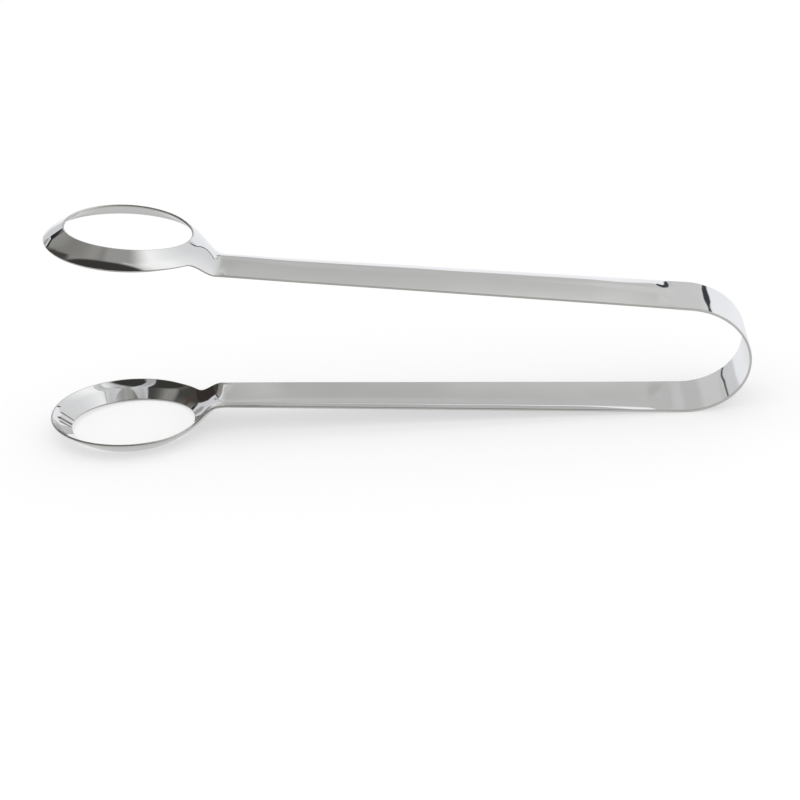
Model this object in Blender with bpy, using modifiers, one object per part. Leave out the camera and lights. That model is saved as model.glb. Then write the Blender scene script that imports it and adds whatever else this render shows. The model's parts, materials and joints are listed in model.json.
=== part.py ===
# Stainless bread tongs: one stamped strip, bent into a spring bow, with a ring jaw at each end.
# Metres, +Z up. X runs along the tongs, with the bow at +X, and Y runs across the strip.
# The strip flexes in its bow, so the bow is cut into short segments with a flexure line between
# each two. A piece's origin is the point it turns about as the bow bends: the mean of the flexure
# lines between it and the middle of the bow. Everything is laid out about the plane midway between
# the two jaws, and then the whole is tilted until it stands on its bow and its lower ring.
import math

import bmesh
import bpy
import numpy as np
from mathutils import Matrix, Vector

mm = 0.001

# Sheet
sheet_thickness = 0.7 * mm
strip_width = 21.1 * mm  # across the bow
split_gap = 0.3 * mm  # clearance between neighbouring pieces of the strip

# Bow: half an ellipse, measured on its outer face from the bow's centre
bow_reach = 19.9 * mm
bow_half_height = 16.8 * mm
segments_per_side = 3
cells_per_segment = 6
bow_cross_cells = 2
bow_samples = 400
bow_roughness = 0.10

# Arms: straight, spreading from the bow, pressed to a shallow arch with its edges inwards
arm_spread = math.radians(1.9)
arm_width_at_neck = 17.3 * mm  # where the arm reaches the ring's outside circle
arch_height = 1.7 * mm
flat_land_length = 9.0 * mm  # flat stretch beside the bow
arch_run_in = 26.0 * mm  # from the flat land to the full arch
arm_cells = 20
land_cells = 2
arm_roughness = 0.12

# Ring jaws: a flat-sided cone with an open middle, its wide rim facing the other jaw
ring_reach = 166.5 * mm  # bow's centre to the ring's axis
ring_outside_radius = 24.35 * mm
ring_wall_at_tip = 5.9 * mm  # the walls' widths on plan, from the wide rim to the opening
ring_wall_at_sides = 6.1 * mm
ring_wall_at_neck = 4.5 * mm
ring_wall_slope = math.radians(37.1)
ring_tilt = math.radians(2.6)
neck_rise = 5.7 * mm  # from the arm's edges up to the plane of the wide rim
neck_fillet_radius = 14.0 * mm
neck_bend = 1.8 * mm  # height over which the cone runs into the arm
neck_arch_start_share = 0.6  # where the arch runs out, as a share of the way to the fillet
neck_land_length = 5.0 * mm  # from the fillet to the end of the jaw piece
ring_cells = 30
fillet_cells = 10
neck_cells = 3
cross_cells = 6
ring_roughness = 0.12

# Finish of the meshes
steel_colour = (0.78, 0.79, 0.80, 1)
merge_distance = 0.01 * mm
smooth_angle = math.radians(40)
steepest_stand = math.radians(45)
stand_steps = 50

half_width = strip_width / 2
opening_half_width = ring_outside_radius - ring_wall_at_sides
opening_half_length = ring_outside_radius - (ring_wall_at_tip + ring_wall_at_neck) / 2
opening_offset = (ring_wall_at_tip - ring_wall_at_neck) / 2


def steel(name, roughness):
    material = bpy.data.materials.new(name)
    material.use_nodes = True
    shader = material.node_tree.nodes["Principled BSDF"]
    shader.inputs["Base Color"].default_value = steel_colour
    shader.inputs["Metallic"].default_value = 1
    shader.inputs["Roughness"].default_value = roughness
    return material


def pressed_sheet(name, rails, cells, form, outward, roughness):
    """One half of a sheet between two rails, divided across, then formed."""
    sheet = bmesh.new()
    rail_edges = []
    for rail in rails:
        points = [sheet.verts.new(point) for point in rail]
        rail_edges += [sheet.edges.new(pair) for pair in zip(points, points[1:])]
    along = set(rail_edges)
    bmesh.ops.bridge_loops(sheet, edges=rail_edges)
    across = [edge for edge in sheet.edges if edge not in along]
    bmesh.ops.subdivide_edges(sheet, edges=across, cuts=cells - 1, use_grid_fill=True)
    for vertex in sheet.verts:
        vertex.co = form(vertex.co)
    sheet.normal_update()
    facing = [face.normal.dot(outward(face.calc_center_median())) for face in sheet.faces]
    if sum(facing) < 0:
        bmesh.ops.reverse_faces(sheet, faces=sheet.faces[:])
    mesh = bpy.data.meshes.new(name)
    sheet.to_mesh(mesh)
    sheet.free()
    mesh.shade_smooth()
    mesh.set_sharp_from_angle(angle=smooth_angle)
    mesh.materials.append(steel(name + "_steel", roughness))
    return mesh


def place(name, mesh, parent, location, rotation=(0, 0, 0)):
    """Links a half sheet under its carrier, mirrors it across the strip and gives it its thickness."""
    piece = bpy.data.objects.new(name, mesh)
    tongs.objects.link(piece)
    piece.parent = parent
    piece.location = location
    piece.rotation_euler = rotation
    halves = piece.modifiers.new("Other half", "MIRROR")
    halves.use_axis = (False, True, False)
    halves.merge_threshold = merge_distance
    wall = piece.modifiers.new("Sheet", "SOLIDIFY")
    wall.thickness = sheet_thickness
    wall.offset = -1
    wall.use_even_offset = True
    return piece


def smooth_step(value):
    share = min(max(value, 0), 1)
    return share * share * (3 - 2 * share)


# The bow's outer face runs from its nose towards the upper arm, and ends where it takes the arm's slope.
end_turn = math.atan(math.tan(arm_spread) * bow_reach / bow_half_height)
turns = np.linspace(0, math.pi / 2 - end_turn, bow_samples)
bow_x = bow_reach * np.cos(turns)
bow_z = bow_half_height * np.sin(turns)
bow_run = np.concatenate(([0], np.cumsum(np.hypot(np.diff(bow_x), np.diff(bow_z)))))
segment_length = 2 * bow_run[-1] / (2 * segments_per_side + 1)


def bow_point(run, depth=0):
    """A point of the bow at a distance along its outer face from the nose, and at a depth below that face."""
    turn = np.interp(abs(run), bow_run, turns)
    side = 1 if run >= 0 else -1
    normal = Vector((math.cos(turn) / bow_reach, 0, side * math.sin(turn) / bow_half_height)).normalized()
    point = Vector((bow_reach * math.cos(turn), 0, side * bow_half_height * math.sin(turn)))
    return point - normal * depth


# The jaw frame: origin on the ring's axis in the plane of the wide rim, x towards the bow, z outwards.
arm_start = bow_point(bow_run[-1])
edge_height_at_ring = arm_start.z + (arm_start.x + ring_reach) * math.tan(arm_spread)
ring_centre = Vector((-ring_reach, 0, edge_height_at_ring + neck_rise))


def in_jaw_frame(point):
    from_centre = point - ring_centre
    along = from_centre.x * math.cos(ring_tilt) - from_centre.z * math.sin(ring_tilt)
    outwards = from_centre.x * math.sin(ring_tilt) + from_centre.z * math.cos(ring_tilt)
    return Vector((along, 0, outwards))


arm_end = in_jaw_frame(arm_start)
relative_slope = math.tan(ring_tilt - arm_spread)
taper = (half_width - arm_width_at_neck / 2) / (arm_end.x - ring_outside_radius)


def edge_half_width(along):
    return half_width - taper * (arm_end.x - along)


# Neck fillet: an arc that touches the ring outside and the straight edge of the arm.
fillet_reach = ring_outside_radius + neck_fillet_radius
level = edge_half_width(0) + neck_fillet_radius * math.hypot(1, taper)
slope_term = 1 + taper * taper
fillet_x = (math.sqrt(slope_term * fillet_reach**2 - level**2) - taper * level) / slope_term
fillet_y = level + taper * fillet_x
ring_meets_fillet = math.atan2(fillet_y, fillet_x)
fillet_end_turn = math.pi / 2 + math.atan(taper)
fillet_end_x = fillet_x + neck_fillet_radius * math.sin(math.atan(taper))
ring_meets_fillet_x = ring_outside_radius * math.cos(ring_meets_fillet)
neck_arch_start = ring_meets_fillet_x * neck_arch_start_share
neck_end = fillet_end_x + neck_land_length


def cone_height(radius):
    return (ring_outside_radius - radius) * math.tan(ring_wall_slope)


def outline_half_width(along):
    if along < ring_meets_fillet_x:
        return math.sqrt(max(ring_outside_radius**2 - along**2, 0))
    if along < fillet_end_x:
        return fillet_y - math.sqrt(max(neck_fillet_radius**2 - (fillet_x - along) ** 2, 0))
    return edge_half_width(along)


def arch_at(along):
    """The arch's rise, and how far the edges droop from it: it runs out before the bow and in the neck."""
    from_bow = smooth_step((arm_end.x - flat_land_length - along) / arch_run_in)
    from_ring = smooth_step((along - neck_arch_start) / (fillet_end_x - neck_arch_start))
    return arch_height * from_bow, arch_height * from_bow * from_ring


def pressed(point):
    """Moves a point of the flat blank to the pressed surface: the ring's cone, the neck and the arched arm."""
    rise, droop = arch_at(point.x)
    cone = cone_height(math.hypot(point.x, point.y))
    crest = arm_end.z - relative_slope * (arm_end.x - point.x) + rise
    blend = max(neck_bend - abs(cone - crest), 0) / neck_bend
    height = max(cone, crest) + blend * blend * neck_bend / 4
    if droop:
        height -= droop * (point.y / outline_half_width(point.x)) ** 2
    return Vector((point.x, point.y, height))


def unchanged(point):
    return point


def up(_):
    return Vector((0, 0, 1))


def on_circle(radius, turn, centre_x=0, centre_y=0):
    return Vector((centre_x + radius * math.cos(turn), centre_y + radius * math.sin(turn), 0))


def on_opening(turn):
    along = opening_offset + opening_half_length * math.cos(turn)
    return Vector((along, opening_half_width * math.sin(turn), 0))


def jaw_rails():
    """The blank of the jaw: round the ring from its tip, then through the fillet to the end of the neck."""
    around = np.linspace(math.pi, ring_meets_fillet, ring_cells + 1)
    outer = [on_circle(ring_outside_radius, turn) for turn in around]
    inner = [on_opening(turn) for turn in around]
    arc = np.linspace(ring_meets_fillet + math.pi, math.pi + fillet_end_turn, fillet_cells + 1)[1:]
    outer += [on_circle(neck_fillet_radius, turn, fillet_x, fillet_y) for turn in arc]
    land = np.linspace(fillet_end_x, neck_end, neck_cells + 1)[1:]
    outer += [Vector((x, edge_half_width(x), 0)) for x in land]
    round_cells = fillet_cells // 2
    rest = np.linspace(ring_meets_fillet, 0, round_cells + 1)[1:]
    inner += [on_opening(turn) for turn in rest]
    middle = np.linspace(inner[-1].x, neck_end, fillet_cells - round_cells + neck_cells + 1)[1:]
    inner += [Vector((x, 0, 0)) for x in middle]
    inner[0].y = 0
    outer[0].y = 0
    return inner, outer


def arm_rails():
    """The blank of the arm, with one row of the mesh where the flat land beside the bow begins."""
    land_start = arm_end.x - flat_land_length
    arched = np.linspace(neck_end + split_gap, land_start, arm_cells + 1)
    land = np.linspace(land_start, arm_end.x - split_gap / 2, land_cells + 1)[1:]
    along = [*arched, *land]
    return [Vector((x, 0, 0)) for x in along], [Vector((x, edge_half_width(x), 0)) for x in along]


def bow_mesh(name, start, end, origin):
    runs = np.linspace(start + split_gap / 2, end - split_gap / 2, cells_per_segment + 1)
    inner = [bow_point(run) - origin for run in runs]
    outer = [point + Vector((0, half_width, 0)) for point in inner]

    def away_from_centre(point):
        return point + origin

    return pressed_sheet(name, (inner, outer), bow_cross_cells, unchanged, away_from_centre, bow_roughness)


def jaw_frame_mesh(name, rails, roughness, pivot_in_jaw):
    mesh = pressed_sheet(name, rails, cross_cells, pressed, up, roughness)
    mesh.transform(Matrix.Translation(-pivot_in_jaw))
    return mesh


def empty(name, parent=None, rotation=(0, 0, 0)):
    carrier = bpy.data.objects.new(name, None)
    tongs.objects.link(carrier)
    carrier.parent = parent
    carrier.rotation_euler = rotation
    return carrier


def corners():
    """Every corner of the finished pieces, in world space."""
    bpy.context.view_layer.update()
    graph = bpy.context.evaluated_depsgraph_get()
    found = []
    for piece in tongs.objects:
        if piece.type == "MESH":
            shape = piece.evaluated_get(graph)
            found += [shape.matrix_world @ vertex.co for vertex in shape.data.vertices]
    return np.array(found)


def standing_tilt(points):
    """The turn about Y at which the bow and the lower ring reach down to the same level."""
    at_bow = points[:, 0] > 0
    low, high = 0, steepest_stand
    for _ in range(stand_steps):
        tilt = (low + high) / 2
        heights = points[:, 2] * math.cos(tilt) - points[:, 0] * math.sin(tilt)
        if heights[at_bow].min() > heights[~at_bow].min():
            low = tilt
        else:
            high = tilt
    return (low + high) / 2


for old in list(bpy.data.objects):
    bpy.data.objects.remove(old)
tongs = bpy.data.collections.new("bread_tongs")
bpy.context.scene.collection.children.link(tongs)

stand = empty("stand")

middle_end = segment_length / 2
middle_mesh = bow_mesh("bow_middle", -middle_end, middle_end, Vector())
place("bow_middle", middle_mesh, stand, Vector())

# Each side has its bow segments, its arm and its ring jaw, and the lower side is the upper one
# turned over. The last segment, the arm and the ring jaw move as one.
for side, turn_over in (("upper", 0), ("lower", math.pi)):
    half = empty(f"{side}_side", stand, (turn_over, 0, 0))
    flexures = []
    for number in range(segments_per_side):
        start = middle_end + number * segment_length
        flexures.append(bow_point(start, sheet_thickness / 2))
        pivot = sum(flexures, Vector()) / len(flexures)
        name = f"bow_{side}_{number + 1}"
        segment = place(name, bow_mesh(name, start, start + segment_length, pivot), half, pivot)
    pivot_in_jaw = in_jaw_frame(pivot)
    arm_mesh = jaw_frame_mesh(f"{side}_arm", arm_rails(), arm_roughness, pivot_in_jaw)
    arm = place(f"{side}_arm", arm_mesh, segment, Vector(), (0, ring_tilt, 0))
    jaw_mesh = jaw_frame_mesh(f"{side}_ring_jaw", jaw_rails(), ring_roughness, pivot_in_jaw)
    place(f"{side}_ring_jaw", jaw_mesh, arm, Vector())

# Stand the tongs on the bow and the lower ring, centred over the origin.
stand.rotation_euler = (0, standing_tilt(corners()), 0)
standing = corners()
middle = (standing.min(axis=0) + standing.max(axis=0)) / 2
stand.location = (-middle[0], -middle[1], -standing[:, 2].min())
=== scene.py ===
import json
import math

import bmesh
import bpy
import numpy as np
from mathutils import Matrix, Vector


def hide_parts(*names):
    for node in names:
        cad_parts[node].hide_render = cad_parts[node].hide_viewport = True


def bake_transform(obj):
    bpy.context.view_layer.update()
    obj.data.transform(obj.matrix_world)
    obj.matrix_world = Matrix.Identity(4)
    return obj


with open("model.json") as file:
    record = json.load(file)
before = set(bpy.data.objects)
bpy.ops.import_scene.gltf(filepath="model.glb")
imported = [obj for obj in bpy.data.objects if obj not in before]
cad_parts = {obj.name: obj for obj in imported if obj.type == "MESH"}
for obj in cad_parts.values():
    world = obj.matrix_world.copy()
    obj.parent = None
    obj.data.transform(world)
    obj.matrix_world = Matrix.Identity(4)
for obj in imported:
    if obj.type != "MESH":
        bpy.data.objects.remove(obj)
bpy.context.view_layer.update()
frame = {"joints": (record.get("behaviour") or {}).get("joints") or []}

# Bread tongs: one polished stainless strip, bent into a spring bow, with a ring jaw at each end.
# The strip is made as the real one is: a flat blank with rounded edges, then pressed and bent.
# Metres. The tongs' own frame has its origin at the bow's centre, x towards the nose, z to the upper arm.
mm = 0.001

bow = {
    "reach": 19.9 * mm,
    "halfHeight": 16.8 * mm,
    "zonesPerSide": 3,          # the frame's bow zones on each side of its middle
    "samples": 2000,            # points that measure its length
    "cells": 110,
    "seamCell": 0.01 * mm,      # last row at the nose, so that the two halves shade alike
}
arm = {
    "width": 21.1 * mm,
    "widthAtNeck": 17.3 * mm,
    "spread": math.radians(1.9),
    "archHeight": 1.7 * mm,
    "archStart": 2.5 * mm,      # from the bow; the arch first swells fast, then slowly
    "fastRunIn": 7.5 * mm,
    "fastShare": 0.65,
    "slowRunIn": 20.0 * mm,
    "neckSwell": 0.6 * mm,      # the arch is a little higher beside the neck
    "swellRun": 20.0 * mm,
    "cells": 190,
}
ring = {
    "reach": 166.5 * mm,        # bow's centre to the ring's axis
    "radius": 24.35 * mm,
    "wallAtTip": 5.9 * mm,
    "wallAtSides": 6.1 * mm,
    "wallAtNeck": 4.5 * mm,
    "wallSlope": math.radians(35.0),
    "rimRoll": 2.4 * mm,        # width over which the wall steepens towards its wide rim
    "rimDrop": 0.35 * mm,
    "tilt": math.radians(2.6),
    "neckRise": 5.7 * mm,
    "filletRadius": 14.0 * mm,
    "neckBend": 3.0 * mm,
    "archStartShare": 0.6,
    "neckLand": 5.0 * mm,
    "cells": 150,
    "filletCells": 60,
    "neckCells": 16,
}
sheet = {
    "thickness": 0.7 * mm,
    "edgeRound": 0.16 * mm,
    "edgeSegments": 3,
    "crossCells": 28,
    "slopeStep": 0.01 * mm,     # for the surface's direction
    "mergeDistance": 0.0005 * mm,
    "sharpAngle": math.radians(60),
    "cutNormal": 0.99,          # faces of the flat blank that lean more than this are its cut edge
}


def smoothStep(value):
    share = min(max(value, 0), 1)
    return share * share * (3 - 2 * share)


# Bow's outer face: a quarter of an ellipse from the nose, up to where it takes the arm's slope
endTurn = math.atan(math.tan(arm["spread"]) * bow["reach"] / bow["halfHeight"])
turns = np.linspace(0, math.pi / 2 - endTurn, bow["samples"])
bowX = bow["reach"] * np.cos(turns)
bowZ = bow["halfHeight"] * np.sin(turns)
bowRun = np.concatenate(([0], np.cumsum(np.hypot(np.diff(bowX), np.diff(bowZ)))))
bowLength = bowRun[-1]


def bowPoint(run, depth=0):
    turn = np.interp(run, bowRun, turns)
    point = Vector((bow["reach"] * math.cos(turn), 0, bow["halfHeight"] * math.sin(turn)))
    outward = Vector((math.cos(turn) / bow["reach"], 0, math.sin(turn) / bow["halfHeight"]))
    return point - outward.normalized() * depth


# Jaw frame: origin on the ring's axis in the plane of its wide rim, x towards the bow, z outwards
armStart = bowPoint(bowLength)
ringHeight = armStart.z + (armStart.x + ring["reach"]) * math.tan(arm["spread"]) + ring["neckRise"]
jawFrame = Matrix.Translation((-ring["reach"], 0, ringHeight)) @ Matrix.Rotation(ring["tilt"], 4, "Y")
armEnd = jawFrame.inverted() @ armStart
halfWidth = arm["width"] / 2
taper = (halfWidth - arm["widthAtNeck"] / 2) / (armEnd.x - ring["radius"])
openingHalfWidth = ring["radius"] - ring["wallAtSides"]
openingHalfLength = ring["radius"] - (ring["wallAtTip"] + ring["wallAtNeck"]) / 2
openingOffset = (ring["wallAtTip"] - ring["wallAtNeck"]) / 2


def edgeHalfWidth(along):
    return halfWidth - taper * max(armEnd.x - along, 0)


# Neck fillet: an arc that touches the ring outside and the arm's straight edge
level = edgeHalfWidth(0) + ring["filletRadius"] * math.hypot(1, taper)
slopeTerm = 1 + taper ** 2
filletReach = ring["radius"] + ring["filletRadius"]
filletX = (math.sqrt(slopeTerm * filletReach ** 2 - level ** 2) - taper * level) / slopeTerm
filletY = level + taper * filletX
meetTurn = math.atan2(filletY, filletX)
meetX = ring["radius"] * math.cos(meetTurn)
filletEndTurn = math.pi / 2 + math.atan(taper)
filletEndX = filletX + ring["filletRadius"] * math.sin(math.atan(taper))
archStartX = meetX * ring["archStartShare"]


def outlineHalfWidth(along):
    if along < meetX:
        return math.sqrt(max(ring["radius"] ** 2 - along ** 2, 0))
    if along < filletEndX:
        return filletY - math.sqrt(max(ring["filletRadius"] ** 2 - (filletX - along) ** 2, 0))
    return edgeHalfWidth(along)


def wallHeight(radius):         # the ring's wall, with its wide rim rolled a little steeper
    fromRim = ring["radius"] - radius
    roll = max(1 - fromRim / ring["rimRoll"], 0)
    return fromRim * math.tan(ring["wallSlope"]) + ring["rimDrop"] * (1 - roll ** 2)


def archShare(fromBow):         # how far the arm's arch has swelled at this distance from the bow
    run = fromBow - arm["archStart"]
    fast = arm["fastShare"] * smoothStep(run / arm["fastRunIn"])
    return fast + (1 - arm["fastShare"]) * smoothStep((run - arm["fastRunIn"]) / arm["slowRunIn"])


def pressedPoint(x, y):         # a point of the flat blank on the finished outer face, in the tongs' frame
    if x > armEnd.x:
        point = bowPoint(bowLength - (x - armEnd.x))
        return Vector((point.x, y, point.z))
    fromRing = smoothStep((x - archStartX) / (filletEndX - archStartX))
    swell = arm["neckSwell"] * fromRing * smoothStep((filletEndX + arm["swellRun"] - x) / arm["swellRun"])
    arch = (arm["archHeight"] + swell) * archShare(armEnd.x - x)
    cone = wallHeight(math.hypot(x, y))
    crest = armEnd.z - math.tan(ring["tilt"] - arm["spread"]) * (armEnd.x - x) + arch
    soften = max(ring["neckBend"] - abs(cone - crest), 0) / ring["neckBend"]
    height = max(cone, crest) + soften ** 2 * ring["neckBend"] / 4      # a soft bend where they meet
    if arch * fromRing:
        height -= arch * fromRing * (y / outlineHalfWidth(x)) ** 2
    return jawFrame @ Vector((x, y, height))


def pressVertex(point):         # z is the depth in the sheet
    onFace = pressedPoint(point.x, point.y)
    step = sheet["slopeStep"]
    alongStep = step if point.x + step < armEnd.x + bowLength else -step
    along = (pressedPoint(point.x + alongStep, point.y) - onFace) / alongStep
    across = pressedPoint(point.x, point.y + step) - onFace
    return onFace + along.cross(across).normalized() * point.z


def onCircle(radius, turn, centreX=0, centreY=0):
    return Vector((centreX + radius * math.cos(turn), centreY + radius * math.sin(turn), 0))


def onOpening(turn):
    return Vector((openingOffset + openingHalfLength * math.cos(turn), openingHalfWidth * math.sin(turn), 0))


def blankRails():               # half the blank's outline, from the ring's tip to the nose: inner and outer
    neckEnd = filletEndX + ring["neckLand"]
    nose = armEnd.x + bowLength
    around = np.linspace(math.pi, meetTurn, ring["cells"] + 1)
    outer = [onCircle(ring["radius"], turn) for turn in around]
    inner = [onOpening(turn) for turn in around]
    arc = np.linspace(meetTurn + math.pi, math.pi + filletEndTurn, ring["filletCells"] + 1)[1:]
    outer += [onCircle(ring["filletRadius"], turn, filletX, filletY) for turn in arc]
    openingCells = ring["filletCells"] // 2
    inner += [onOpening(turn) for turn in np.linspace(meetTurn, 0, openingCells + 1)[1:]]
    neck = np.linspace(filletEndX, neckEnd, ring["neckCells"] + 1)[1:]
    middleCells = ring["filletCells"] - openingCells + ring["neckCells"]
    middle = np.linspace(inner[-1].x, neckEnd, middleCells + 1)[1:]
    straight = np.linspace(neckEnd, armEnd.x, arm["cells"] + 1)[1:]
    bent = np.linspace(armEnd.x, nose - bow["seamCell"], bow["cells"] + 1)[1:]
    rest = [*straight, *bent, nose]
    outer += [Vector((x, edgeHalfWidth(x), 0)) for x in [*neck, *rest]]
    inner += [Vector((x, 0, 0)) for x in [*middle, *rest]]
    inner[0].y = 0
    outer[0].y = 0
    return inner, outer


def cornerNumbers(face):
    return sorted(vertex.index for vertex in face.verts)


def pressedStrip(name, stand):
    blank = bmesh.new()
    railEdges = []
    for rail in blankRails():
        points = [blank.verts.new(point) for point in rail]
        railEdges += [blank.edges.new(pair) for pair in zip(points, points[1:])]
    along = set(railEdges)
    bmesh.ops.bridge_loops(blank, edges=railEdges)
    across = [edge for edge in blank.edges if edge not in along]
    bmesh.ops.subdivide_edges(blank, edges=across, cuts=sheet["crossCells"] - 1, use_grid_fill=True)
    everything = blank.verts[:] + blank.edges[:] + blank.faces[:]
    bmesh.ops.mirror(blank, geom=everything, axis="Y", merge_dist=sheet["mergeDistance"])
    bmesh.ops.recalc_face_normals(blank, faces=blank.faces[:])
    if sum(face.normal.z for face in blank.faces) < 0:
        bmesh.ops.reverse_faces(blank, faces=blank.faces[:])
    bmesh.ops.solidify(blank, geom=blank.faces[:], thickness=sheet["thickness"])
    print(name, "blank with", len(blank.faces), "faces")
    blank.normal_update()
    nose = armEnd.x + bowLength

    def atNose(edge):
        return all(vertex.co.x > nose - bow["seamCell"] / 2 for vertex in edge.verts)

    sharp = [edge for edge in blank.edges if edge.calc_face_angle(0) > sheet["sharpAngle"]]
    rim = [edge for edge in sharp if not atNose(edge)]
    bmesh.ops.bevel(blank, geom=rim, offset=sheet["edgeRound"], segments=sheet["edgeSegments"],
                    profile=0.5, affect="EDGES", material=-1, clamp_overlap=True)
    flat = blank.loops.layers.uv.new("blank")
    cut = blank.verts.layers.float.new("cutEdge")
    blank.normal_update()
    for face in blank.faces:
        for loop in face.loops:
            loop[flat].uv = loop.vert.co.xy / mm
    for vertex in blank.verts:
        vertex[cut] = float(all(abs(face.normal.z) < sheet["cutNormal"] for face in vertex.link_faces))
    for vertex in blank.verts:
        vertex.co = stand @ pressVertex(vertex.co)
    blank.verts.index_update()
    for place, face in enumerate(sorted(blank.faces, key=cornerNumbers)):       # the same order on each run
        face.index = place
    blank.faces.sort()
    mesh = bpy.data.meshes.new(name)
    blank.to_mesh(mesh)
    blank.free()
    mesh.shade_smooth()
    mesh.set_sharp_from_angle(angle=sheet["sharpAngle"])
    strip = bpy.data.objects.new(name, mesh)
    bpy.context.scene.collection.objects.link(strip)
    print(name, "pressed, with", len(mesh.polygons), "faces")
    return strip


# The frame says how the tongs stand: both arms' hinges lie at the mean of their bow lines
joints = {joint["name"]: joint for joint in frame["joints"]}
upperHinge = Vector(joints["upper_arm_flex"]["pos_m"])
lowerHinge = Vector(joints["lower_arm_flex"]["pos_m"])
zoneLength = 2 * bowLength / (2 * bow["zonesPerSide"] + 1)
lines = [bowPoint((zone + 0.5) * zoneLength, sheet["thickness"] / 2) for zone in range(bow["zonesPerSide"])]
hingeX = sum(line.x for line in lines) / len(lines)
ownZ = (upperHinge - lowerHinge).normalized()
ownY = Vector((0, 1, 0))
ownX = ownY.cross(ownZ)
stand = Matrix((ownX, ownY, ownZ)).transposed().to_4x4()
stand.translation = (upperHinge + lowerHinge) / 2 - ownX * hingeX
print("stands at", [round(value / mm, 3) for value in stand.translation],
      "tilt", round(math.degrees(math.atan2(ownZ.x, ownZ.z)), 3))


class Wire:                     # a shader socket, so that sums on it add their Math nodes
    def __init__(self, graph, socket):
        self.graph = graph
        self.socket = socket

    def sum(self, operation, first, second=0):      # any Math node, by its operation
        return self.graph.node("Math", {"operation": operation}, {0: first, 1: second})

    def __add__(self, other):
        return self.sum("ADD", self, other)

    def __radd__(self, other):
        return self.sum("ADD", other, self)

    def __sub__(self, other):
        return self.sum("SUBTRACT", self, other)

    def __rsub__(self, other):
        return self.sum("SUBTRACT", other, self)

    def __mul__(self, other):
        return self.sum("MULTIPLY", self, other)

    def __rmul__(self, other):
        return self.sum("MULTIPLY", other, self)

    def step(self, edge, softness):     # 0 below the edge, 1 above it
        values = {0: self, 1: edge - softness / 2, 2: edge + softness / 2, 3: 0, 4: 1}
        return self.graph.node("MapRange", {"interpolation_type": "SMOOTHSTEP"}, values)

    def between(self, low, high, softness):
        return self.step(low, softness) * (1 - self.step(high, softness))


class Graph:
    def __init__(self, owner):
        owner.use_nodes = True
        self.tree = owner.node_tree
        self.tree.nodes.clear()

    def node(self, kind, settings=None, values=None, output=0):
        made = self.tree.nodes.new("ShaderNode" + kind)
        for name, setting in (settings or {}).items():
            if name == "stops":
                while len(made.color_ramp.elements) < len(setting):
                    made.color_ramp.elements.new(1)
                for element, (place, colour) in zip(made.color_ramp.elements, setting):
                    element.position = place
                    element.color = colour
            else:
                setattr(made, name, setting)
        for name, value in (values or {}).items():
            if isinstance(value, Wire):
                self.tree.links.new(value.socket, made.inputs[name])
            else:
                made.inputs[name].default_value = value
        return Wire(self, made.outputs[output]) if made.outputs else made

    def parts(self, vector):
        split = self.node("SeparateXYZ", {}, {0: vector})
        return [Wire(self, socket) for socket in split.socket.node.outputs]

    def noise(self, vector, scale, detail, roughness=0.5):
        values = {"Vector": vector, "Scale": scale, "Detail": detail, "Roughness": roughness}
        return self.node("TexNoise", {}, values)

    def over(self, below, colour, share):       # lays a colour over another one, as far as the share says
        return self.node("Mix", {"data_type": "RGBA"}, {0: share, 6: below, 7: colour}, output=2)


def tone(light, warmth=0):      # a nearly neutral colour; a negative warmth makes it cool
    return (light, light - warmth / 4, light - warmth, 1)


steel = {
    "colour": (0.79, 0.795, 0.80, 1),
    "dullColour": (0.755, 0.76, 0.765, 1),      # where the polish is a little less bright
    "cutColour": (0.62, 0.605, 0.58, 1),        # the sheared and tumbled edge of the sheet
    "cutEdge": (0.45, 0.5),             # where it begins between the last rows, and how softly
    "roughness": 0.032,
    "dullRoughness": 0.022,             # added where the polish is dull
    "lineRoughness": 0.02,
    "cutRoughness": 0.38,
    "pitRoughness": 0.2,
    "lineStretch": (0.05, 2.4, 0),      # polishing lines run along the strip: shares of a mm along and across
    "lineNoise": (3, 5, 0.6),           # scale, detail and grain
    "cloudNoise": (0.045, 3),
    "waveNoise": (0.06, 0),
    "pitNoise": (1.6 / mm, 3),
    "cloudShare": 0.7,                  # clouds and lines together make the dull patches
    "dullFrom": (0.52, 0.3),
    "waveHeight": 0.16 * mm,
    "bowWaveHeight": 0.32 * mm,         # bending leaves the sheet a little wavier at the bow
    "bowWaveFrom": (162, 12),           # mm along the blank from the ring's axis, and the run-in
    "lineHeight": 0.00012 * mm,
    "cutHeight": 0.01 * mm,
}
noiseMiddle = 0.5


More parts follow.
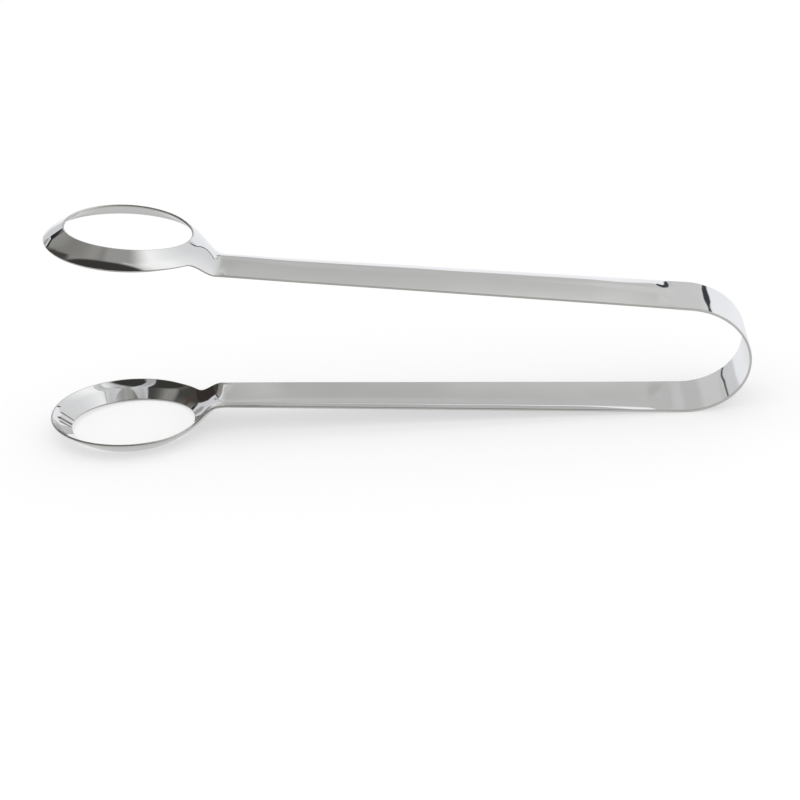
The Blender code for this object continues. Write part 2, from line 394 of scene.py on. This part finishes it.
def polishedSteel():
    material = bpy.data.materials.new("polished stainless")
    graph = Graph(material)
    blank = graph.node("UVMap", {"uv_map": "blank"})        # mm on the flat blank
    place = graph.node("TexCoord", output="Object")
    cut = graph.node("Attribute", {"attribute_name": "cutEdge"}, output="Fac").step(*steel["cutEdge"])
    stretched = graph.node("VectorMath", {"operation": "MULTIPLY"}, {0: blank, 1: steel["lineStretch"]})
    lines = graph.noise(stretched, *steel["lineNoise"])
    clouds = graph.noise(blank, *steel["cloudNoise"])
    waves = graph.noise(blank, *steel["waveNoise"])
    pits = graph.noise(place, *steel["pitNoise"])
    dull = clouds * steel["cloudShare"] + lines * (1 - steel["cloudShare"])
    dull = dull.step(*steel["dullFrom"])
    colour = graph.node("RGB")
    colour.socket.default_value = steel["colour"]
    colour = graph.over(colour, steel["dullColour"], dull)
    colour = graph.over(colour, steel["cutColour"], cut)
    polish = steel["roughness"] + dull * steel["dullRoughness"]
    polish = polish + (lines - noiseMiddle) * steel["lineRoughness"]
    rough = steel["cutRoughness"] + (pits - noiseMiddle) * steel["pitRoughness"]
    nearBow = graph.parts(blank)[0].step(*steel["bowWaveFrom"])
    waveHeight = steel["waveHeight"] + nearBow * (steel["bowWaveHeight"] - steel["waveHeight"])
    height = waves * waveHeight + lines * steel["lineHeight"] + cut * pits * steel["cutHeight"]
    bump = graph.node("Bump", {}, {"Height": height, "Distance": 1, "Strength": 1})
    shader = graph.node("BsdfPrincipled", {}, {
        "Base Color": colour, "Metallic": 1, "Roughness": polish * (1 - cut) + cut * rough, "Normal": bump})
    graph.node("OutputMaterial", {}, {"Surface": shader})
    return material


# What the polished steel mirrors: a soft panel at the back, a white table, and a darker room behind the
# camera. Directions are azimuth and elevation in degrees, azimuth 0 at the back and positive to the right.
# Edges are given with their softness: (edge, softness), or (from, to, softness).
studio = {
    "walls": [                  # round the room at mid height: azimuth and colour, blended between them
        (-180, tone(0.27, 0.018)), (-90, tone(0.27, 0.018)), (-78, tone(0.30, 0.022)),
        (-54, tone(0.25, 0.02)), (-44, tone(0.31, 0.02)), (-33.6, tone(0.33, 0.02)),
        (-33.2, tone(0.84, -0.01)), (-22, tone(0.84, -0.01)),           # a pale strip beside the panel
        (-21.6, tone(0.64, 0.015)), (-9, tone(0.62, 0.015)), (-3.5, tone(0.52, 0.015)),
        (1, tone(0.54, 0.015)), (6, tone(0.60, 0.015)), (12, tone(0.65, 0.015)), (18, tone(0.74, 0.015)),
        (50, tone(0.83, -0.01)), (78, tone(1.12, 0.01)), (100, tone(1.10, 0.03)),       # window side
        (130, tone(0.50, 0.02)), (180, tone(0.27, 0.018)),
    ],
    "panelSides": (-22, 20, 1),         # the panel reaches on up into the ceiling
    "ceiling": tone(0.37, 0.02),
    "ceilingSides": (-80, 118, 16),
    "ceilingEdge": (71, 19),
    "ceilingEverywhere": (82, 5),
    "room": tone(0.045, 0.005),
    "roomTurn": 0.35,                   # the dark room begins along a straight line across the ceiling
    "roomFrom": (0.1, 0.09),
    "roomFloor": tone(0.45, 0.01),      # the room's lower part behind the camera is lit by the table
    "roomFloorAway": (-105, 112, 20),
    "roomFloorTop": (38, 14),
    "leftDark": tone(0.065, 0.01),
    "leftDarkAt": (-50, 28.5),          # below a line that rises through this direction the left wall is dark
    "leftDarkRise": 1.45,
    "leftDarkTop": 51,
    "leftDarkFade": 8,
    "leftDarkSides": (-80, 24, -42, 6),         # far and near side, each with its softness
    "table": tone(0.97, -0.03),
    "tableFront": tone(0.60, 0.01),     # as seen from above, nearer the camera
    "tableFade": (-26, 34),
    "tableEdge": (7, 1.5),
    "tableRise": (6, 0.55, 10.2),       # its edge climbs to the right: from this azimuth, how steeply, up to
    "tableCorner": (20.3, 1),
    "tableDrop": 7,                     # how far the edge drops beyond its corner
    "leftTable": tone(0.71, -0.02),
    "leftTableSides": (-47, -22.5, 0.6),
    "leftTableTop": (20.5, 1),
    "leftTableFade": (0, 4),
    "trim": tone(0.05, -0.01),          # along the table's edge
    "trimSides": (8.7, 14.5, 0.8),
    "trimEdges": (-1.7, 1.7, 0.5),
    "floorLight": 1.08,
    "floorColour": tone(0.52),
    "floorGlow": 0.45,
    "floorHalfSize": 3,
    "backdrop": 1.0,
}
cards = {                       # azimuths, elevations, lean of both sides, softness, colour
    "panel's foot": ((-22, 20), (16, 27), 0, 3, tone(0.69, 0.01)),
    "panel's middle foot": ((-7, 7), (14, 29), 0, 6, tone(0.58, 0.01)),
    "white beside the panel": ((20.5, 32.6), (-5, 19.8), 0.417, 0.6, tone(0.97, -0.03)),
    "panel's right post": ((17.9, 20.2), (11, 15.8), 0, 0.5, tone(0.05, -0.01)),
    "right wall's post": ((32.2, 33.8), (4, 23), 0.417, 0.5, tone(0.07, -0.01)),
    "lower right post": ((30.4, 32.4), (19.5, 25), -0.6, 0.5, tone(0.10, -0.01)),
    "panel's left post": ((-22.7, -21.9), (2, 20), 0, 0.3, tone(0.07)),
    "left wall's foot": ((-46, -35.6), (20.6, 23.6), 0, 0.6, tone(0.02)),
    "left wall's post": ((-30.6, -28.8), (16.5, 22.6), -0.78, 0.5, tone(0.02)),
    "box on the left": ((-41.5, -34.5), (12, 17.5), 0, 2, tone(0.38, 0.02)),
    "far doorway": ((-64, -47.4), (8, 21.5), -0.35, 1, (0.04, 0.033, 0.03, 1)),
    "door behind": ((-153, -143), (56, 69), 0, 3, tone(0.20, 0.005)),
    "warm stripe": ((-57, -53), (24, 35), 0, 3, (0.09, 0.06, 0.045, 1)),
}
leanPivot = 13.5                # the elevation where a leaning side has the azimuth given
white = (1, 1, 1, 1)


def studioWorld():
    world = bpy.data.worlds.new("studio")
    graph = Graph(world)
    direction = graph.node("TexCoord", output="Generated")
    x, y, z = graph.parts(direction)
    azimuth = x.sum("ARCTAN2", x, y) * math.degrees(1)
    elevation = z.sum("ARCSINE", z) * math.degrees(1)
    stops = [(turn / 360 + 0.5, colour) for turn, colour in studio["walls"]]
    light = graph.node("ValToRGB", {"stops": stops}, {0: azimuth * (1 / 360) + 0.5})

    low = elevation.step(*studio["ceilingEdge"])
    high = elevation.step(*studio["ceilingEverywhere"])
    besidePanel = azimuth.between(*studio["ceilingSides"]) * (1 - azimuth.between(*studio["panelSides"]))
    light = graph.over(light, studio["ceiling"], high + (low - high) * besidePanel)

    start, height = studio["leftDarkAt"]
    line = (start - azimuth) * studio["leftDarkRise"] + height
    line = line.sum("MINIMUM", line, studio["leftDarkTop"])
    far, farSoftness, near, nearSoftness = studio["leftDarkSides"]
    share = (line - elevation).step(0, studio["leftDarkFade"]) * (1 - azimuth.step(near, nearSoftness))
    light = graph.over(light, studio["leftDark"], share * azimuth.step(far, farSoftness))

    behindCamera = (0 - y - x * studio["roomTurn"]).step(*studio["roomFrom"])
    light = graph.over(light, studio["room"], behindCamera)
    behind = 1 - azimuth.between(*studio["roomFloorAway"])
    light = graph.over(light, studio["roomFloor"], behind * (1 - elevation.step(*studio["roomFloorTop"])))

    tableEdge, edgeSoftness = studio["tableEdge"]
    riseFrom, rise, highest = studio["tableRise"]
    climb = azimuth.sum("MAXIMUM", azimuth - riseFrom, 0) * rise + tableEdge
    edge = climb.sum("MINIMUM", climb, highest) - azimuth.step(*studio["tableCorner"]) * studio["tableDrop"]
    table = graph.over(studio["tableFront"], studio["table"], elevation.step(*studio["tableFade"]))
    light = graph.over(light, table, (edge - elevation).step(0, edgeSoftness))
    share = azimuth.between(*studio["leftTableSides"]) * (1 - elevation.step(*studio["leftTableTop"]))
    light = graph.over(light, studio["leftTable"], share * elevation.step(*studio["leftTableFade"]))
    share = (edge - elevation).between(*studio["trimEdges"]) * azimuth.between(*studio["trimSides"])
    light = graph.over(light, studio["trim"], share)

    for (left, right), (bottom, top), lean, softness, colour in cards.values():
        leaned = azimuth - (elevation - leanPivot) * lean if lean else azimuth
        share = leaned.between(left, right, softness) * elevation.between(bottom, top, softness)
        light = graph.over(light, colour, share)

    mirrored = graph.node("Background", {}, {"Color": light, "Strength": 1})
    plain = graph.node("Background", {}, {"Color": white, "Strength": studio["floorLight"]})
    backdrop = graph.node("Background", {}, {"Color": white, "Strength": studio["backdrop"]})
    seenByCamera = graph.node("LightPath", output="Is Camera Ray")
    seenInSteel = graph.node("LightPath", output="Is Glossy Ray")
    lit = graph.node("MixShader", {}, {0: seenInSteel, 1: plain, 2: mirrored})
    shown = graph.node("MixShader", {}, {0: seenByCamera, 1: lit, 2: backdrop})
    graph.node("OutputWorld", {}, {"Surface": shown})
    bpy.context.scene.world = world
    print("studio world with", len(cards), "cards")


def paleFloor():
    floorMesh = bmesh.new()
    bmesh.ops.create_grid(floorMesh, x_segments=1, y_segments=1, size=studio["floorHalfSize"])
    mesh = bpy.data.meshes.new("floor")
    floorMesh.to_mesh(mesh)
    floorMesh.free()
    floor = bpy.data.objects.new("floor", mesh)
    bpy.context.scene.collection.objects.link(floor)
    material = bpy.data.materials.new("floor")
    graph = Graph(material)
    lit = graph.node("BsdfDiffuse", {}, {"Color": studio["floorColour"]})
    glow = graph.node("Emission", {}, {"Color": white, "Strength": studio["floorGlow"]})
    shader = graph.node("AddShader", {}, {0: lit, 1: glow})
    graph.node("OutputMaterial", {}, {"Surface": shader})
    mesh.materials.append(material)
    floor.visible_glossy = False        # the steel mirrors the studio's own table
    print("floor laid")


view = {
    "azimuth": math.radians(1.147),
    "elevation": math.radians(24.97),
    "roll": math.radians(1.5),
    "distance": 685.1 * mm,
    "target": Vector((-84.03 * mm, 0, -20.86 * mm)),    # in the tongs' own frame
    "lens": 101.2,
    "sensorWidth": 36,
    "clipStart": 0.01,
}


def photographCamera():
    turn = Matrix.Rotation(view["azimuth"], 4, "Z") @ Matrix.Rotation(math.pi / 2 - view["elevation"], 4, "X")
    aim = Matrix.Translation(view["target"]) @ turn
    own = aim @ Matrix.Translation((0, 0, view["distance"])) @ Matrix.Rotation(view["roll"], 4, "Z")
    data = bpy.data.cameras.new("camera")
    data.lens = view["lens"]
    data.sensor_width = view["sensorWidth"]
    data.clip_start = view["clipStart"]
    camera = bpy.data.objects.new("camera", data)
    bpy.context.scene.collection.objects.link(camera)
    camera.matrix_world = stand @ own
    bpy.context.scene.camera = camera
    print("camera at", [round(value / mm, 1) for value in camera.matrix_world.translation])


photographCamera()
studioWorld()
paleFloor()
bpy.context.scene.view_settings.view_transform = "Standard"

finish = polishedSteel()
turnOver = Matrix.Rotation(math.pi, 4, "X")
for side, ownTurn in (("upper", Matrix.Identity(4)), ("lower", turnOver)):
    strip = pressedStrip(f"{side}_strip", stand @ ownTurn)
    strip.data.materials.append(finish)
    zones = [f"bow_{side}_{number + 1}" for number in range(bow["zonesPerSide"])]
    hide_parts("bow_middle", *zones, f"{side}_arm", f"{side}_ring_jaw")
    armRoot = stand @ ownTurn @ armStart
    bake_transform(strip)
    print(side, "strip bends from the bow's middle to its arm")
